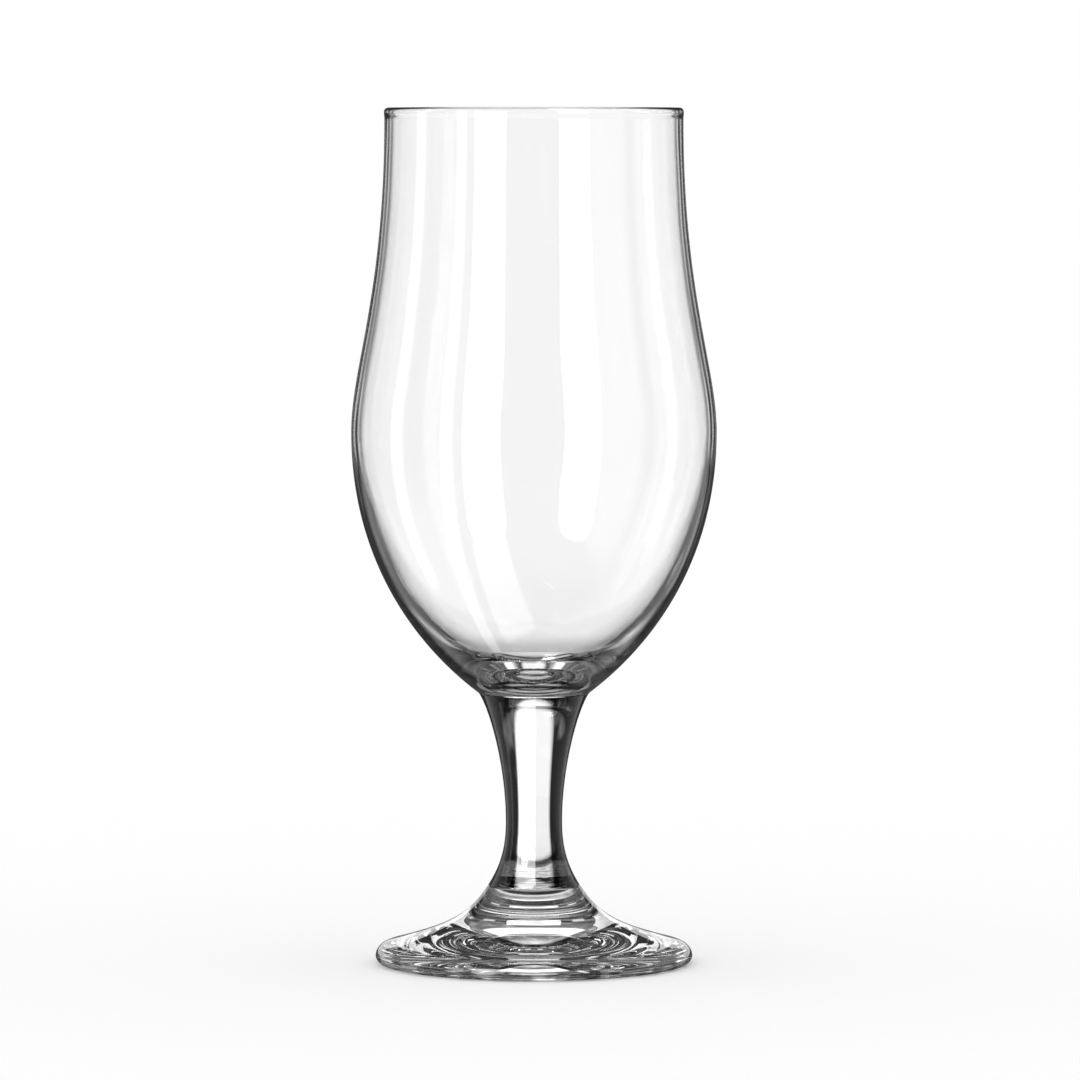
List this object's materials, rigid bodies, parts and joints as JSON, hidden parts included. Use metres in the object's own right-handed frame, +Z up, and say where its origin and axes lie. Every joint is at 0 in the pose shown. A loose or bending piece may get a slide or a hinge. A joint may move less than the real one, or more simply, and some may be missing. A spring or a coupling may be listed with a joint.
{
  "type": "beer glass",
  "caption": "Clear footed beer glass for drinking: tulip bowl with a straight narrowed mouth, wide belly and thick base, fused to a short waisted solid stem on a round hollowed foot.",
  "frame": {"origin": "centre of the foot's bearing ring, on the axis of the glass and in the plane of the table", "axes": "+Z up along the axis of the glass; X and Y level, and alike because the glass is round"},
  "size_m": [0.0784, 0.0784, 0.184],
  "materials": {
    "bowl_glass": "clear, fire-polished",
    "stem_glass": "clear, fire-polished",
    "foot_glass": "clear, pressed and fire-polished"
  },
  "bodies": {
    "root": {"bowl": "bowl_glass", "stem": "stem_glass", "foot": "foot_glass"}
  },
  "joints": []
}
